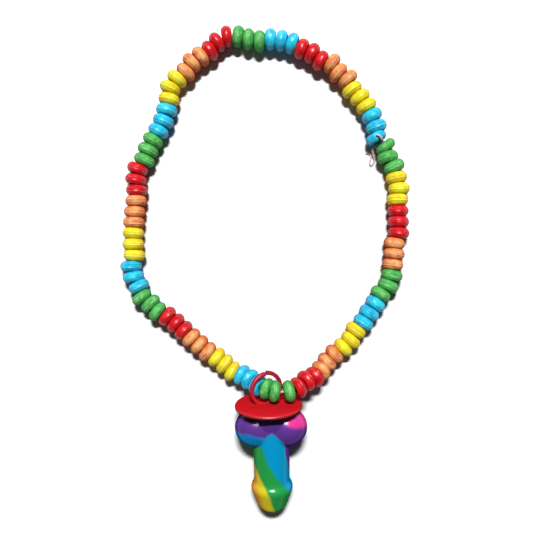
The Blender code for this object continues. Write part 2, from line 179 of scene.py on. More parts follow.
# The elastic string: a rubber core wound with pale pink thread, a millimetre thick. It goes round through all
# the beads and the ring, is closed with one small overhand knot at the right, and its two cut ends are left
# long: one lies on the surface in a tight hairpin, and the other curls up over the blue bead beside the knot.
STRING_RADIUS = 0.5 * MM
STRING_POINTS = 320
KNOT_LOOP = 0.24 * MM
KNOT_POINTS = 90
KNOT_STRETCHED = 0.8
TAIL_STEPS = 6
TAILS = (
    (
        (63.0, 68.6, 5.6),
        (61.5, 67.5, 5.0),
        (60.3, 66.0, 3.9),
        (60.9, 63.7, 2.4),
        (61.7, 61.3, 1.4),
        (61.4, 59.5, 0.9),
        (60.5, 58.1, 0.6),
        (59.5, 58.2, 0.6),
        (59.2, 59.6, 0.7),
        (59.8, 61.5, 0.7),
        (59.8, 63.4, 0.6),
        (58.7, 64.6, 0.6),
        (57.0, 64.8, 0.6),
    ),
    (
        (64.6, 69.8, 9.0),
        (64.3, 70.0, 11.6),
        (63.4, 71.1, 13.2),
        (62.0, 72.3, 13.2),
        (60.6, 72.7, 13.0),
    ),
)
WELD = 0.01 * MM


def smooth_open(points, steps):
    """A smooth line through the points, from the first to the last."""
    ends = [2 * points[0] - points[1], *points, 2 * points[-1] - points[-2]]
    curve = []
    for i in range(1, len(ends) - 2):
        curve += [between(*ends[i - 1:i + 3], step / steps) for step in range(steps)]
    return curve + [points[-1]]


def placed(name, data):
    """A new object in the scene from its mesh, curve, light or camera."""
    obj = bpy.data.objects.new(name, data)
    bpy.context.scene.collection.objects.link(obj)
    return obj


def finished_mesh(obj):
    """The object's mesh with its modifiers worked in, and the object itself put away."""
    bpy.context.view_layer.update()
    mesh = bpy.data.meshes.new_from_object(obj.evaluated_get(bpy.context.evaluated_depsgraph_get()))
    bpy.data.objects.remove(obj)
    return mesh


def add_tube(bm, points, radius, closed):
    """Adds a round tube along the points to a bmesh, with its caps welded on."""
    data = bpy.data.curves.new("tube", "CURVE")
    data.dimensions = "3D"
    data.bevel_depth = radius
    data.bevel_resolution = 3
    data.use_fill_caps = not closed
    spline = data.splines.new("POLY")
    spline.points.add(len(points) - 1)
    for slot, point in zip(spline.points, points):
        slot.co = (*point, 1.0)
    spline.use_cyclic_u = closed
    bm.from_mesh(finished_mesh(placed("tube", data)))
    bmesh.ops.remove_doubles(bm, verts=bm.verts, dist=WELD)


def colour(hex_code):
    """An sRGB hex value as the linear colour that a shader takes."""
    channels = [int(hex_code[k:k + 2], 16) / 255 for k in (0, 2, 4)]
    return (*(c / 12.92 if c <= 0.04045 else ((c + 0.055) / 1.055) ** 2.4 for c in channels), 1.0)


def feed(node, **inputs):
    """Gives a node its inputs: from another node's output, as a hex colour, or as a plain value."""
    for name, value in inputs.items():
        socket = node.inputs[int(name[1:]) if name[1:].isdigit() else name.replace("_", " ")]
        if isinstance(value, bpy.types.Node):
            value = next(output for output in value.outputs if output.enabled)
        if isinstance(value, bpy.types.NodeSocket):
            node.id_data.links.new(value, socket)
        else:
            socket.default_value = colour(value) if isinstance(value, str) else value
    return node


def add_node(finish, kind, settings=(), **inputs):
    """Adds a node to a material, with its settings and its inputs."""
    made = finish.node_tree.nodes.new(kind)
    for name, value in dict(settings).items():
        setattr(made, name, value)
    return feed(made, **inputs)


def new_material(name, **values):
    """A Principled material with its plain values set on the shader's own sockets, and that shader."""
    finish = bpy.data.materials.new(name)
    finish.use_nodes = True
    return finish, feed(finish.node_tree.nodes["Principled BSDF"], **values)


def finished_piece(name, bm, finish, nodes, sharp=35.0):
    """The piece from its bmesh, riding on the part and standing for its CAD nodes."""
    bmesh.ops.recalc_face_normals(bm, faces=bm.faces)
    if bm.calc_volume(signed=True) < 0:
        bmesh.ops.reverse_faces(bm, faces=bm.faces)
    mesh = bpy.data.meshes.new(name)
    bm.to_mesh(mesh)
    bm.free()
    mesh.shade_smooth()
    mesh.set_sharp_from_angle(angle=math.radians(sharp))
    mesh.materials.append(finish)
    piece = placed(name, mesh)
    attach(piece, "root")
    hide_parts(*nodes)


# Covered elastic: polyester thread wound round rubber, so it's matt, with fine slanting ridges that are drawn
# twice as coarse as the real thread, with painted shade in the hollows between them, and a faint change of tint
# along it.
string_finish, string_shader = new_material(
    "Wound_polyester_elastic", Roughness=0.6, Sheen_Weight=0.3, Specular_IOR_Level=0.2
)
string_place = add_node(string_finish, "ShaderNodeTexCoord").outputs["Object"]
fuzz = add_node(string_finish, "ShaderNodeTexNoise", Vector=string_place, Scale=1 / (1.6 * MM), Detail=3.0)
thread = add_node(
    string_finish,
    "ShaderNodeTexWave",
    {"bands_direction": "DIAGONAL"},
    Vector=string_place,
    Scale=1 / (1.2 * MM),
    Distortion=1.5,
).outputs["Fac"]
wound = add_node(
    string_finish, "ShaderNodeMix", {"data_type": "RGBA"}, Factor=fuzz, _6="D1C8C4", _7="B49595"
)
# The hollows between the windings are painted shade.
groove_shaded = add_node(string_finish, "ShaderNodeMix", {"data_type": "RGBA"}, Factor=thread, _6="A77E81", _7=wound)
ridges = add_node(string_finish, "ShaderNodeBump", Height=thread, Strength=0.6, Distance=0.12 * MM)
feed(string_shader, Base_Color=groove_shaded, Normal=ridges)

string = bmesh.new()
loop = [necklace.at(necklace.length * k / STRING_POINTS) for k in range(STRING_POINTS)]
add_tube(string, loop, STRING_RADIUS, True)
last_before_knot = threaded_runs[KNOT_AFTER_RUN - 1][-1][0]
first_after_knot = threaded_runs[KNOT_AFTER_RUN][0][0]
knot_place = necklace.at((last_before_knot + first_after_knot) / 2)
knot_line = []
for k in range(KNOT_POINTS):
    t = 2 * math.pi * k / KNOT_POINTS
    trefoil = Vector((math.sin(t) + 2 * math.sin(2 * t), math.cos(t) - 2 * math.cos(2 * t), -math.sin(3 * t)))
    knot_line.append(knot_place + KNOT_LOOP * trefoil)
add_tube(string, knot_line, KNOT_STRETCHED * STRING_RADIUS, True)
for tail in TAILS:
    tail_line = smooth_open([knot_place] + [Vector(point) * MM for point in tail], TAIL_STEPS)
    add_tube(string, tail_line, STRING_RADIUS, False)
finished_piece("elastic_string_piece", string, string_finish, ["elastic_string"])


# The beads: dextrose powder with colour and flavour, pressed in a ring die between two domed punches with a
# pin for the hole. Each has a band with a fine lip at both edges, where the punches met the die, rounded
# shoulders and a flat face round the hole. Strung loosely, each sits a little off the string's line and askew.
BEAD_RIM = 1.3 * MM
RIM_VARIES = (0.6, 1.4)
SHOULDER_VARIES = (1.15, 1.65)
BEAD_SIDES = 64
DOME_STEPS = 9
LIP_WIDTH = 0.3 * MM
LIP_HEIGHT = 0.09 * MM
LIP_FROM = 5.6 * MM
BEAD_HOLE_RADIUS = 1.9 * MM
HOLE_MOUTH = ((3.0, 0.0), (2.3, 0.05), (1.9, 0.4))
HOLE_WAIST = 0.6 * MM
BEAD_LUMP = 0.035 * MM
LUMP_SIZE = 2.4 * MM
CHIP_DEPTH = 0.48 * MM
CHIP_SIZE = 0.9 * MM
CHIP_FROM = 0.42
BEAD_TILT = math.radians(1.6)
TILT_SEED = 7
LIES_UNDER = 0.5 * MM

# By run and place in it, both from 1: the beads beside the ring that were pushed along the string, and those
# that lean on its wire, with the slope of their axes.
BEAD_NUDGES = {(2, 1): -0.4, (30, 2): 0.4, (30, 3): 1.3, (31, 1): 1.6, (31, 2): 0.4}
BEAD_SLOPES = {(1, 1): math.radians(-6.0), (31, 1): math.radians(22.0), (31, 2): math.radians(-2.0)}


def half_outline(thickness, rim, worn):
    """Half of a bead's section, as (radius, height) points from the middle of its band to that of its hole.

    Rim is half its band's width, and worn is how pointed its shoulders are: 1 for an ellipse.
    """
    band = BEAD_RADIUS - LIP_HEIGHT
    points = [(band, 0.0), (band, rim / 2), (band, rim - 0.5 * LIP_WIDTH)]
    points += [(BEAD_RADIUS, rim - 0.2 * LIP_WIDTH), (BEAD_RADIUS, rim + 0.2 * LIP_WIDTH)]
    start = math.asin((rim + 0.6 * LIP_WIDTH) / thickness)
    for step in range(DOME_STEPS + 1):
        angle = start + (math.pi / 2 - start) * step / DOME_STEPS
        radius = BEAD_FACE_RADIUS + (band - BEAD_FACE_RADIUS) * math.cos(angle) ** worn
        points.append((radius, thickness * math.sin(angle)))
    points += [(radius * MM, thickness - depth * MM) for radius, depth in HOLE_MOUTH]
    return points + [(BEAD_HOLE_RADIUS, HOLE_WAIST)]


def pressed_bead(behind, ahead, draw):
    """A bead about Z with its faces at -behind and ahead, with dusty edges and painted lip highlight on its
    points.
    """
    rim = BEAD_RIM / 2 * draw.uniform(*RIM_VARIES)
    worn = draw.uniform(*SHOULDER_VARIES)
    front = half_outline(ahead, rim, worn)
    back = [(radius, -height) for radius, height in half_outline(behind, rim, worn)]
    outline = front + back[:0:-1]
    bm = bmesh.new()
    ring = [bm.verts.new((radius, 0.0, height)) for radius, height in outline]
    section = [bm.edges.new((ring[i], ring[(i + 1) % len(ring)])) for i in range(len(ring))]
    bmesh.ops.spin(
        bm,
        geom=ring + section,
        cent=(0.0, 0.0, 0.0),
        axis=(0.0, 0.0, 1.0),
        angle=2 * math.pi,
        steps=BEAD_SIDES,
        use_merge=True,
    )
    bmesh.ops.remove_doubles(bm, verts=bm.verts, dist=0.002 * MM)
    dust = bm.verts.layers.float.new("dust")
    own = Vector([draw.uniform(-50.0, 50.0) for _ in range(3)])
    for vert in bm.verts:
        radius = math.hypot(vert.co.x, vert.co.y)
        at_lip = max(0.0, 1 - abs(abs(vert.co.z) - rim) / LIP_WIDTH) * (radius > LIP_FROM)
        lump = noise.noise(vert.co / LUMP_SIZE + own)
        chip = max(0.0, noise.noise(vert.co / CHIP_SIZE - own) - CHIP_FROM) / (1 - CHIP_FROM)
        if radius > BEAD_HOLE_RADIUS + 0.3 * MM:
            outward = Vector((vert.co.x, vert.co.y, 0.0)) / radius
            vert.co += outward * (min(0.0, BEAD_LUMP * (lump - 0.3)) - CHIP_DEPTH * chip * at_lip)
        # The lips' pale mark is dust and also a painted highlight; chips add real pale spots.
        vert[dust] = 0.8 * at_lip * max(0.0, 0.45 + 1.4 * lump) + chip
    return bm


def bead_frame(route, distance, tilt, turn, slack, slope=None):
    """A bead's place: its axis along the string, askew by tilt and turn, and off it sideways by slack.

    A slope, where one is given, takes the place of the string's own and of what is askew.
    """
    axis = route.direction(distance)
    if slope is not None:
        axis.z = math.tan(slope)
        axis.normalize()
        tilt = turn = slack = 0.0
    side = axis.cross(Vector((0.0, 0.0, 1.0))).normalized()
    up = side.cross(axis)
    axis = (axis + side * math.tan(turn) + up * math.tan(tilt)).normalized()
    down = (axis * axis.z - Vector((0.0, 0.0, 1.0))).normalized()
    turned = Matrix((down, axis.cross(down), axis)).transposed().to_4x4()
    return Matrix.Translation(route.at(distance) + side * slack) @ turned


def pressed_dextrose(name, tablet, deep, dusty, roughness, shine, speckle):
    """Pressed sugar: a fine grain of crystals that makes it satin, faint cloudy patches of deeper colour, and
    pale dust where the edges rub, which on the lips is also a painted highlight. The flanks carry painted
    shade in the deeper colour, more the further they turn from facing up.
    The grain is drawn a few times coarser than real crystals, so that it shows.
    """
    finish, shader = new_material(name, IOR=1.45)
    bead_place = add_node(finish, "ShaderNodeTexCoord")
    place = bead_place.outputs["Object"]
    grain = add_node(
        finish, "ShaderNodeTexNoise", Vector=place, Scale=1 / (0.7 * MM), Detail=3.0, Roughness=0.7
    )
    cloud = add_node(finish, "ShaderNodeTexNoise", Vector=place, Scale=1 / (3.5 * MM), Detail=2.0)
    patches = add_node(
        finish, "ShaderNodeMapRange", Value=cloud, From_Min=0.4, From_Max=0.65, To_Min=0.0, To_Max=0.8
    )
    body = add_node(finish, "ShaderNodeMix", {"data_type": "RGBA"}, Factor=patches, _6=tablet, _7=deep)
    # Pale mark on the edges: real dust and chips, and along the lips a painted highlight.
    edge = add_node(finish, "ShaderNodeAttribute", {"attribute_name": "dust"}).outputs["Fac"]
    rubbed_and_lip_lit = add_node(finish, "ShaderNodeMath", {"operation": "ADD"}, _0=edge, _1=speckle)
    specks_and_lip_light = add_node(finish, "ShaderNodeMath", {"operation": "MULTIPLY"}, _0=grain, _1=rubbed_and_lip_lit)
    wear_and_lip_highlight = add_node(
        finish, "ShaderNodeMapRange", Value=specks_and_lip_light, From_Min=0.16, From_Max=0.55, To_Min=0.0, To_Max=0.8
    )
    dusted_and_lip_lit = add_node(finish, "ShaderNodeMix", {"data_type": "RGBA"}, Factor=wear_and_lip_highlight, _6=body, _7=dusty)
    # Painted shade: the flanks take the deeper colour as they turn from facing up.
    upward = add_node(finish, "ShaderNodeSeparateXYZ", Vector=bead_place.outputs["Normal"]).outputs["Z"]
    painted_flank_shade = add_node(
        finish, "ShaderNodeMapRange", Value=upward, From_Min=0.75, From_Max=0.2, To_Min=0.0, To_Max=0.9
    )
    flank_shaded = add_node(finish, "ShaderNodeMix", {"data_type": "RGBA"}, Factor=painted_flank_shade, _6=dusted_and_lip_lit, _7=deep)
    away = add_node(finish, "ShaderNodeLayerWeight", Blend=0.5).outputs["Facing"]
    sheen = add_node(
        finish, "ShaderNodeMapRange", Value=away, From_Min=0.4, From_Max=0.85, To_Min=shine, To_Max=0.0
    )
    gloss = add_node(
        finish,
        "ShaderNodeMapRange",
        Value=grain,
        From_Min=0.35,
        From_Max=0.65,
        To_Min=roughness - 0.1,
        To_Max=roughness + 0.2,
    )
    bump = add_node(finish, "ShaderNodeBump", Height=grain, Strength=0.6, Distance=0.12 * MM)
    feed(shader, Base_Color=flank_shaded, Specular_IOR_Level=sheen, Roughness=gloss, Normal=bump)
    return finish


bead_finish = {
    "green": pressed_dextrose("Pressed_dextrose_green", "429A46", "2A7A30", "A0CC96", 0.45, 0.3, 0.3),
    "red": pressed_dextrose("Pressed_dextrose_red", "B8101A", "980A12", "D0606A", 0.28, 0.4, 0.12),
    "orange": pressed_dextrose("Pressed_dextrose_orange", "C88A50", "AA4618", "DCC0A0", 0.5, 0.2, 0.32),
    "yellow": pressed_dextrose("Pressed_dextrose_yellow", "C6C418", "BE9A0C", "D6D38C", 0.45, 0.25, 0.26),
    "blue": pressed_dextrose("Pressed_dextrose_blue", "24B0CA", "0C80A8", "88CCDC", 0.3, 0.4, 0.14),
}
askew = random.Random(TILT_SEED)
uneven = random.Random(TILT_SEED + 1)
for number, (run_beads, (tint, offsets, _)) in enumerate(zip(threaded_runs, RUNS), 1):
    run = bmesh.new()
    for k, (distance, behind, ahead) in enumerate(run_beads):
        slope = BEAD_SLOPES.get((number, k + 1))
        tilt = askew.uniform(-BEAD_TILT, BEAD_TILT)
        turn = askew.uniform(-BEAD_TILT, BEAD_TILT)
        bead = pressed_bead(behind, ahead, uneven)
        distance += BEAD_NUDGES.get((number, k + 1), 0.0) * MM
        bead.transform(bead_frame(necklace, distance, tilt, turn, offsets[k] * MM, slope))
        lowest = min(vert.co.z for vert in bead.verts)
        if lowest < LIES_UNDER:
            bmesh.ops.translate(bead, verts=bead.verts, vec=(0.0, 0.0, -lowest))
        tablet = bpy.data.meshes.new("bead")
        bead.to_mesh(tablet)
        bead.free()
        run.from_mesh(tablet)
        bpy.data.meshes.remove(tablet)
    node = f"beads_{number:02d}_{tint}"
    finished_piece(f"{node}_pressed", run, bead_finish[tint], [node], sharp=50.0)


# The holder: one injection moulding in red polystyrene, a round plate that covers the flat back of the candy,
# and a split ring on it. The ring's two ends pass each other by a step, so that it can be pushed onto the
# string. It stands on the plate's rim, and the candy in front of it lies on its ridge.
PLATE_RADIUS = 18.2 * MM
PLATE_THICKNESS = 2.0 * MM
PLATE_EDGE = 0.95 * MM
PLATE_FLAT = 9.0 * MM
PLATE_SIDES = 144
PLATE_RIM_STEPS = 6
WORN_RIM = 0.05 * MM
RING_RADIUS = 8.4 * MM
RING_WIRE_RADIUS = 1.1 * MM
RING_WIRE_DEPTH = 1.2
RING_SQUARENESS = 0.6
RING_STEP_OUT = 0.6 * MM
RING_STEP_SHARE = 0.25
RING_SPLIT = 0.2 * MM
RING_END_EDGE = 0.3 * MM
RING_ROLL = math.radians(24.5)
RING_SIDE = 1.2 * MM
RING_DROP = 2.1 * MM
RING_SINK = 2.0 * MM
RING_STEPS = 120
RING_SECTION = 24
CANDY_GROUND_RADIUS = 10.4 * MM
CANDY_RIDGE_AT = 44.5 * MM
PENDANT_FOOT = Vector((1.7 * MM, -70.1 * MM, 0.0))
PENDANT_YAW = math.radians(1.0)
PENDANT_SLOPE = math.atan((PLATE_RADIUS - CANDY_GROUND_RADIUS) / (CANDY_RIDGE_AT + PLATE_THICKNESS))


def pendant_frame():
    """X across the pendant, Y along its axis from the plate's back to the tip, and Z up, the rim down."""
    yaw = Matrix.Rotation(PENDANT_YAW, 4, "Z")
    turned = yaw @ Matrix.Rotation(math.pi, 4, "Z") @ Matrix.Rotation(-PENDANT_SLOPE, 4, "X")
    rim = turned @ Vector((0.0, 0.0, -PLATE_RADIUS))
    lowest = turned @ Vector((0.0, PLATE_THICKNESS, -PLATE_RADIUS))
    lift = Vector((0.0, 0.0, -min(rim.z, lowest.z)))
    foot = PENDANT_FOOT - Vector((rim.x, rim.y, 0.0))
    return Matrix.Translation(foot + lift) @ turned


def spun(outline, steps):
    """A solid turned about Y from (radius, height) points, with the height along Y."""
    bm = bmesh.new()
    verts = [bm.verts.new((radius, 0.0, height)) for radius, height in outline]
    edges = [bm.edges.new(pair) for pair in zip(verts, verts[1:])]
    bmesh.ops.spin(
        bm,
        geom=verts + edges,
        cent=(0.0, 0.0, 0.0),
        axis=(0.0, 0.0, 1.0),
        angle=2 * math.pi,
        steps=steps,
        use_merge=True,
    )
    bmesh.ops.remove_doubles(bm, verts=bm.verts, dist=0.002 * MM)
    bm.transform(Matrix.Rotation(-math.pi / 2, 4, "X"))
    return bm


pendant = pendant_frame()
plate_outline = [(0.0, 0.0), (PLATE_FLAT, 0.0)]
for corner, sign in ((PLATE_EDGE, 1), (PLATE_THICKNESS - PLATE_EDGE, -1)):
    for step in range(PLATE_RIM_STEPS + 1):
        share = step / PLATE_RIM_STEPS
        angle = math.pi / 2 * (share if sign > 0 else 1 - share)
        radius = PLATE_RADIUS - WORN_RIM - PLATE_EDGE + PLATE_EDGE * math.sin(angle)
        plate_outline.append((radius, corner - sign * PLATE_EDGE * math.cos(angle)))
plate_outline += [(PLATE_FLAT, PLATE_THICKNESS), (0.0, PLATE_THICKNESS)]
plate = spun(plate_outline, PLATE_SIDES)

ring_start = math.asin(RING_SPLIT / RING_RADIUS)
ring_turn = 2 * math.pi - 2 * ring_start
ring = bmesh.new()
bmesh.ops.create_circle(ring, cap_ends=False, segments=RING_SECTION, radius=1.0)
for vert in ring.verts:
    wide = math.copysign(abs(vert.co.x) ** RING_SQUARENESS, vert.co.x)
    deep = math.copysign(abs(vert.co.y) ** RING_SQUARENESS, vert.co.y)
    vert.co = (0.0, RING_WIRE_RADIUS * wide - RING_RADIUS, RING_WIRE_RADIUS * deep)
to_split = Matrix.Rotation(-ring_start, 3, "Z")
bmesh.ops.rotate(ring, verts=ring.verts, cent=(0.0, 0.0, 0.0), matrix=to_split)
bmesh.ops.spin(
    ring,
    geom=ring.verts[:] + ring.edges[:],
    cent=(0.0, 0.0, 0.0),
    axis=(0.0, 0.0, -1.0),
    angle=ring_turn,
    steps=RING_STEPS,
)
bmesh.ops.holes_fill(ring, edges=ring.edges)
for vert in ring.verts:
    share = (math.atan2(-vert.co.x, -vert.co.y) % (2 * math.pi) - ring_start) / ring_turn
    outward = Vector((vert.co.x, vert.co.y, 0.0)).normalized()
    vert.co += outward * RING_STEP_OUT * max(0.0, 1 - max(0.0, share) / RING_STEP_SHARE)
bmesh.ops.recalc_face_normals(ring, faces=ring.faces)
end_caps = [face for face in ring.faces if len(face.verts) > 4]
bmesh.ops.bevel(
    ring,
    geom=[edge for edge in ring.edges if any(face in end_caps for face in edge.link_faces)],
    offset=RING_END_EDGE,
    segments=3,
    profile=0.5,
    affect="EDGES",
    material=-1,
    clamp_overlap=True,
)
on_plate = Matrix.Translation((0.0, RING_SINK - RING_RADIUS - RING_WIRE_RADIUS, 0.0))
deepen = Matrix.Diagonal((1.0, 1.0, RING_WIRE_DEPTH, 1.0))
roll = Matrix.Translation((RING_SIDE, 0.0, -RING_DROP)) @ Matrix.Rotation(-RING_ROLL, 4, "Y")
ring.transform(roll @ deepen @ on_plate)

halves = []
for name, half in (("plate", plate), ("ring", ring)):
    mesh = bpy.data.meshes.new(name)
    half.to_mesh(mesh)
    half.free()
    halves.append(placed(name, mesh))
moulded = halves[0].modifiers.new("moulded", "BOOLEAN")
moulded.operation = "UNION"
moulded.solver = "EXACT"
moulded.object = halves[1]
holder = bmesh.new()
holder.from_mesh(finished_mesh(halves[0]))
bpy.data.objects.remove(halves[1])
bmesh.ops.remove_doubles(holder, verts=holder.verts, dist=WELD)
bmesh.ops.dissolve_degenerate(holder, edges=holder.edges, dist=WELD)
holder.transform(pendant)

# Moulded polystyrene: satin and a little see-through. The thin ring is painted a deeper pink than the plate, as
# light through the thin plastic and as shade, and the plate's rim is painted shade toward the candy. It has the
# slow ripple of a thin plate that shrank in its mould and a faint drag of the mould's polish.
plastic, plastic_shader = new_material("Moulded_red_polystyrene", IOR=1.59)
plastic_place = add_node(plastic, "ShaderNodeTexCoord").outputs["Object"]
holder_place = add_node(
    plastic,
    "ShaderNodeMapping",
    {"vector_type": "TEXTURE"},
    Vector=plastic_place,
    Location=pendant.translation,
    Rotation=pendant.to_euler(),
    Scale=(-MM, MM, MM),
)
along_holder = add_node(plastic, "ShaderNodeSeparateXYZ", Vector=holder_place).outputs["Y"]
ripple = add_node(plastic, "ShaderNodeTexNoise", Vector=plastic_place, Scale=1 / (9.0 * MM), Detail=2.0)
polish = add_node(plastic, "ShaderNodeTexNoise", Vector=plastic_place, Scale=1 / (0.8 * MM), Detail=2.0)
rippled = add_node(
    plastic, "ShaderNodeMix", {"data_type": "RGBA"}, Factor=ripple, _6="B0151E", _7="A01119"
)
# The ring is painted a deeper pink: painted light through the thin plastic, and painted shade.
thin = add_node(
    plastic, "ShaderNodeMapRange", Value=along_holder, From_Min=-2.0, From_Max=-9.0, To_Min=0.0, To_Max=1.0
)
ring_painted_pinker = add_node(plastic, "ShaderNodeMix", {"data_type": "RGBA"}, Factor=thin, _6=rippled, _7="8B102A")
# Painted shade: the plate's rim deepens toward the candy.
painted_rim_shade = add_node(
    plastic, "ShaderNodeMapRange", Value=along_holder, From_Min=0.1, From_Max=1.3, To_Min=0.0, To_Max=0.85
)
rim_shaded = add_node(plastic, "ShaderNodeMix", {"data_type": "RGBA"}, Factor=painted_rim_shade, _6=ring_painted_pinker, _7="55080F")
plastic_edge = add_node(plastic, "ShaderNodeLayerWeight", Blend=0.25).outputs["Facing"]
plastic_shine = add_node(
    plastic, "ShaderNodeMapRange", Value=plastic_edge, From_Max=0.35, To_Min=0.4, To_Max=0.0
)
plastic_gloss = add_node(plastic, "ShaderNodeMapRange", Value=polish, To_Min=0.34, To_Max=0.5)
plastic_bump = add_node(plastic, "ShaderNodeBump", Height=ripple, Strength=0.3, Distance=0.3 * MM)
feed(
    plastic_shader,
    Base_Color=rim_shaded,
    Specular_IOR_Level=plastic_shine,
    Roughness=plastic_gloss,
    Normal=plastic_bump,
)
finished_piece("holder_moulded", holder, plastic, ["holder"], sharp=60.0)


# The candy: boiled sugar in five colours, marbled while soft and cast in a mould. Two bulbs and the web
# between them sit against the plate, and a shaft with a ridge and a blunt tip runs out of them. It lies on its
# ridge. The shaft and the tip are given as places along the axis with the radius there, in millimetres.
TOUCHING_GAP = 0.3 * MM
CANDY_SIDE = -1.2 * MM
CANDY_SHAFT = ((0.0, 9.9), (20.0, 9.9), (32.0, 9.7), (39.4, 9.7), (41.6, 9.95), (43.5, 11.1), (45.2, 11.4))
CANDY_BROW = ((47.0, 11.0), (51.2, 9.5), (54.9, 8.2), (56.7, 7.15))
CANDY_TIP = ((57.9, 5.85), (58.45, 4.3), (58.7, 2.4), (58.75, 0.0))
CANDY_STEPS = 5
CANDY_SIDES = 96
BULB_SPREAD = 8.0 * MM
BULB_AT = 10.9 * MM
BULB_RADII = (11.6 * MM, 10.6 * MM, 10.8 * MM)
BULB_SIDES = 96
WEB_AT = 4.8 * MM
WEB_RADII = (10.5 * MM, 10.9 * MM, 12.0 * MM)
CANDY_VOXEL = 0.5 * MM
CANDY_SMOOTHING = 5

rows = [Vector((radius * MM, along * MM)) for along, radius in CANDY_SHAFT + CANDY_BROW + CANDY_TIP]
candy_outline = [(0.0, 0.0)] + [(max(0.0, row.x), row.y) for row in smooth_open(rows, CANDY_STEPS)]
candy = spun(candy_outline, CANDY_SIDES)
to_axis = Matrix.Rotation(-math.pi / 2, 4, "X")
for side, along, (wide, high, deep) in (
    (-BULB_SPREAD, BULB_AT, BULB_RADII),
    (BULB_SPREAD, BULB_AT, BULB_RADII),
    (0.0, WEB_AT, WEB_RADII),
):
    lobe = bmesh.new()
    bmesh.ops.create_uvsphere(lobe, u_segments=BULB_SIDES, v_segments=BULB_SIDES // 2, radius=1.0)
    bmesh.ops.scale(lobe, verts=lobe.verts, vec=(wide, high, deep))
    bmesh.ops.translate(lobe, verts=lobe.verts, vec=(side, 0.0, along))
    cut = lobe.verts[:] + lobe.edges[:] + lobe.faces[:]
    bmesh.ops.bisect_plane(lobe, geom=cut, plane_no=(0.0, 0.0, 1.0), clear_inner=True)
    bmesh.ops.holes_fill(lobe, edges=lobe.edges)
    lobe.transform(to_axis)
    lobe_mesh = bpy.data.meshes.new("lobe")
    lobe.to_mesh(lobe_mesh)
    lobe.free()
    candy.from_mesh(lobe_mesh)
    bpy.data.meshes.remove(lobe_mesh)
candy.transform(pendant @ Matrix.Translation((CANDY_SIDE, PLATE_THICKNESS + TOUCHING_GAP, 0.0)))
for vert in candy.verts:
    vert.co.z = max(0.0, vert.co.z)
bmesh.ops.recalc_face_normals(candy, faces=candy.faces)
rough_cast = bpy.data.meshes.new("candy")
candy.to_mesh(rough_cast)
candy.free()
rough = placed("candy", rough_cast)
fuse = rough.modifiers.new("fuse", "REMESH")
fuse.mode = "VOXEL"
fuse.voxel_size = CANDY_VOXEL
blend = rough.modifiers.new("blend", "SMOOTH")
blend.factor = 0.5
blend.iterations = CANDY_SMOOTHING
candy = bmesh.new()
candy.from_mesh(finished_mesh(rough))

# Marbled boiled sugar: a clear glass of sugar, so it's shiny, with painted shade that sinks toward near black
# where it turns from facing up, and fields of colour that run slantwise through it and melt into each other over
# a few millimetres. Its pattern lies in the pendant's own millimetres, across it and along it from the plate's
# back.
sugar, sugar_shader = new_material("Marbled_boiled_sugar", IOR=1.49)
sugar_place = add_node(sugar, "ShaderNodeTexCoord")
candy_place = add_node(
    sugar,
    "ShaderNodeMapping",
    {"vector_type": "TEXTURE"},
    Vector=sugar_place.outputs["Object"],
    Location=pendant.translation,
    Rotation=pendant.to_euler(),
    Scale=(-MM, MM, MM),
)
swirl = add_node(sugar, "ShaderNodeTexNoise", Vector=candy_place, Scale=0.12, Detail=2.0, Roughness=0.4)
wobble = add_node(sugar, "ShaderNodeMath", {"operation": "MULTIPLY_ADD"}, _0=swirl, _1=2.4, _2=-1.2)
stirred = add_node(sugar, "ShaderNodeVectorMath", {"operation": "ADD"}, _0=candy_place, _1=wobble)


def slant(across, along, start):
    """How far a place in the stirred sugar lies past a slanting straight line."""
    past = add_node(
        sugar, "ShaderNodeVectorMath", {"operation": "DOT_PRODUCT"}, _0=stirred, _1=(across, along, 0.0)
    )
    return add_node(sugar, "ShaderNodeMath", {"operation": "ADD"}, _0=past, _1=start)


def pour(marbling, hex_code, *edges):
    """Lays a colour over the marbling, past all its edges, each given with the width that it melts over."""
    share = 1.0
    for past, melt in edges:
        soft = add_node(
            sugar,
            "ShaderNodeMapRange",
            {"interpolation_type": "SMOOTHSTEP"},
            Value=past,
            From_Min=-melt / 2,
            From_Max=melt / 2,
        )
        share = add_node(sugar, "ShaderNodeMath", {"operation": "MULTIPLY"}, _0=soft, _1=share)
    return add_node(sugar, "ShaderNodeMix", {"data_type": "RGBA"}, Factor=share, _6=marbling, _7=hex_code)


# Yellow on ochre, green and blue run slantwise down the shaft, and the green turns toward the tip's middle.
beyond_ridge = add_node(sugar, "ShaderNodeMath", {"operation": "MAXIMUM"}, _0=slant(0.0, 1.0, -49.0), _1=0.0)
green = add_node(
    sugar, "ShaderNodeMath", {"operation": "MULTIPLY_ADD"}, _0=beyond_ridge, _1=0.25, _2=slant(1.0, -0.52, 25.6)
)
beside_green = add_node(sugar, "ShaderNodeMath", {"operation": "ADD"}, _0=green, _1=5.4)
yellow = add_node(
    sugar, "ShaderNodeMath", {"operation": "MINIMUM"}, _0=beside_green, _1=slant(1.0, 0.0, 7.2)
)
from_bulbs = slant(0.0, 1.0, -20.0)
curved = add_node(sugar, "ShaderNodeMath", {"operation": "MULTIPLY"}, _0=from_bulbs, _1=from_bulbs)
blue = add_node(
    sugar, "ShaderNodeMath", {"operation": "MULTIPLY_ADD"}, _0=curved, _1=-0.0105, _2=slant(1.0, -0.25, 9.2)
)
marbling = pour("B88028", "B4A61C", (yellow, 4.0))
marbling = pour(marbling, "1D813A", (green, 2.2))
marbling = pour(marbling, "037DAA", (blue, 2.0))
# On the left bulb the blue is painted deeper: painted shade, the same blue less lit.
marbling = pour(marbling, "046AA0", (slant(-1.0, 0.0, -4.0), 2.6), (slant(0.0, -1.0, 21.0), 2.2))

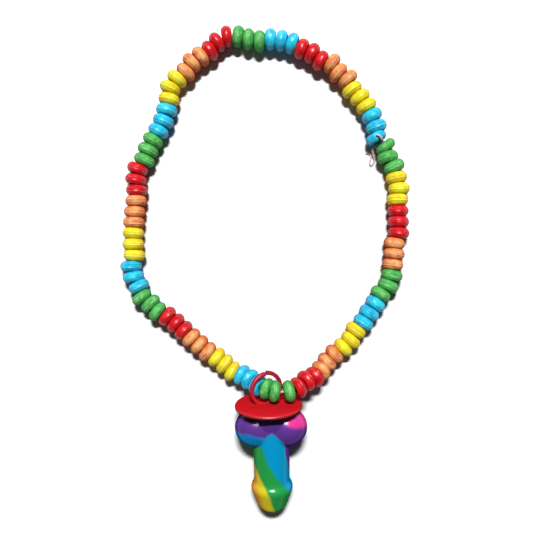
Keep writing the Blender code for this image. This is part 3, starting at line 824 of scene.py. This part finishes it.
# Purple covers the bulbs, with a peak of blue between them, and runs on along the shaft's right-hand side.
bulbs = add_node(
    sugar, "ShaderNodeMath", {"operation": "MAXIMUM"}, _0=slant(0.33, -1.0, 16.5), _1=slant(0.0, -1.0, 13.2)
)
peak = add_node(
    sugar, "ShaderNodeMath", {"operation": "MAXIMUM"}, _0=slant(0.9, -1.0, 11.36), _1=slant(-0.9, -1.0, 14.24)
)
notched = add_node(sugar, "ShaderNodeMath", {"operation": "MINIMUM"}, _0=bulbs, _1=peak)
along_side = add_node(
    sugar, "ShaderNodeMath", {"operation": "MINIMUM"}, _0=slant(8.0, -1.0, -45.6), _1=slant(0.0, -1.0, 38.0)
)
purple = add_node(sugar, "ShaderNodeMath", {"operation": "MAXIMUM"}, _0=notched, _1=along_side)
marbling = pour(marbling, "4C2A74", (purple, 2.4))
marbling = pour(marbling, "BC2F7C", (slant(0.25, -1.0, 6.6), 2.6), (slant(1.0, -0.5, -5.0), 3.4))

# Painted shade: the sugar sinks toward near black where its surface turns from facing up.
upward = add_node(sugar, "ShaderNodeSeparateXYZ", Vector=sugar_place.outputs["Normal"]).outputs["Z"]
painted_low_shade = add_node(
    sugar, "ShaderNodeMapRange", Value=upward, From_Min=0.45, From_Max=0.0, To_Min=0.0, To_Max=0.55
)
shade_deepened = add_node(sugar, "ShaderNodeMix", {"data_type": "RGBA"}, Factor=painted_low_shade, _6=marbling, _7="0F0515")
skin = add_node(sugar, "ShaderNodeLayerWeight", Blend=0.35).outputs["Facing"]
glint = add_node(
    sugar, "ShaderNodeMapRange", Value=skin, From_Min=0.05, From_Max=0.4, To_Min=0.4, To_Max=0.0
)
melt = add_node(sugar, "ShaderNodeTexNoise", Vector=candy_place, Scale=0.35, Detail=2.0)
candy_gloss = add_node(sugar, "ShaderNodeMapRange", Value=melt, To_Min=0.14, To_Max=0.24)
candy_bump = add_node(sugar, "ShaderNodeBump", Height=melt, Strength=0.4, Distance=0.25 * MM)
feed(
    sugar_shader, Base_Color=shade_deepened, Specular_IOR_Level=glint, Roughness=candy_gloss, Normal=candy_bump
)
finished_piece("pendant_candy_cast", candy, sugar, ["pendant_candy"], sharp=70.0)


# The stage: a sheet of white card under one key light from above the top of the picture, with a strip light
# that is only mirrored in what shines, a faint fill from the lower left, and a backdrop that is pale only to
# the camera, which looks straight down on the necklace.
FLOOR_REACH = 1.2
KEY_ELEVATION = math.radians(60.0)
KEY_DISTANCE = 2.4
CAMERA_HEIGHT = 346.0 * MM
CAMERA_PLACE = (0.7 * MM, 0.6 * MM)
HALF_PICTURE = 148.7 * MM
LOOK_PLANE = 6.0 * MM
SENSOR = 36.0

floor_mesh = bpy.data.meshes.new("floor")
floor_bm = bmesh.new()
bmesh.ops.create_grid(floor_bm, x_segments=2, y_segments=2, size=FLOOR_REACH)
floor_bm.to_mesh(floor_mesh)
floor_bm.free()
card, _ = new_material("White_card", Base_Color="D4D4D4", Roughness=0.9, Specular_IOR_Level=0.1)
floor_mesh.materials.append(card)
placed("floor", floor_mesh)


def area_light(name, place, wide, deep, power, lights=True, mirrored=True):
    """A soft light aimed at the middle of the necklace, that lights it, is mirrored in it, or both."""
    light = bpy.data.lights.new(name, "AREA")
    light.shape = "RECTANGLE"
    light.size = wide
    light.size_y = deep
    light.energy = power
    lamp = placed(name, light)
    lamp.location = place
    lamp.rotation_euler = (-Vector(place)).to_track_quat("-Z", "Y").to_euler()
    lamp.visible_diffuse = lights
    lamp.visible_glossy = mirrored


key_place = (0.0, KEY_DISTANCE * math.cos(KEY_ELEVATION), KEY_DISTANCE * math.sin(KEY_ELEVATION))
area_light("key", key_place, 0.5, 0.2, 116.0)
area_light("strip", (0.0, 0.4, 1.13), 0.6, 0.06, 5.0, lights=False)
area_light("fill", (-0.5, -0.7, 1.0), 1.2, 1.2, 0.5, mirrored=False)

room = bpy.data.worlds.new("pale_backdrop")
bpy.context.scene.world = room
room.use_nodes = True
seen = add_node(room, "ShaderNodeLightPath").outputs["Is Camera Ray"]
backdrop = add_node(room, "ShaderNodeMix", {"data_type": "RGBA"}, Factor=seen, _6="313335", _7="F1F2F4")
feed(room.node_tree.nodes["Background"], Color=backdrop)
bpy.context.scene.view_settings.view_transform = "Standard"

camera_data = bpy.data.cameras.new("camera")
camera_data.sensor_width = SENSOR
camera_data.lens = SENSOR / 2 * (CAMERA_HEIGHT - LOOK_PLANE) / HALF_PICTURE
camera = placed("camera", camera_data)
camera.location = (*CAMERA_PLACE, CAMERA_HEIGHT)
bpy.context.scene.camera = camera
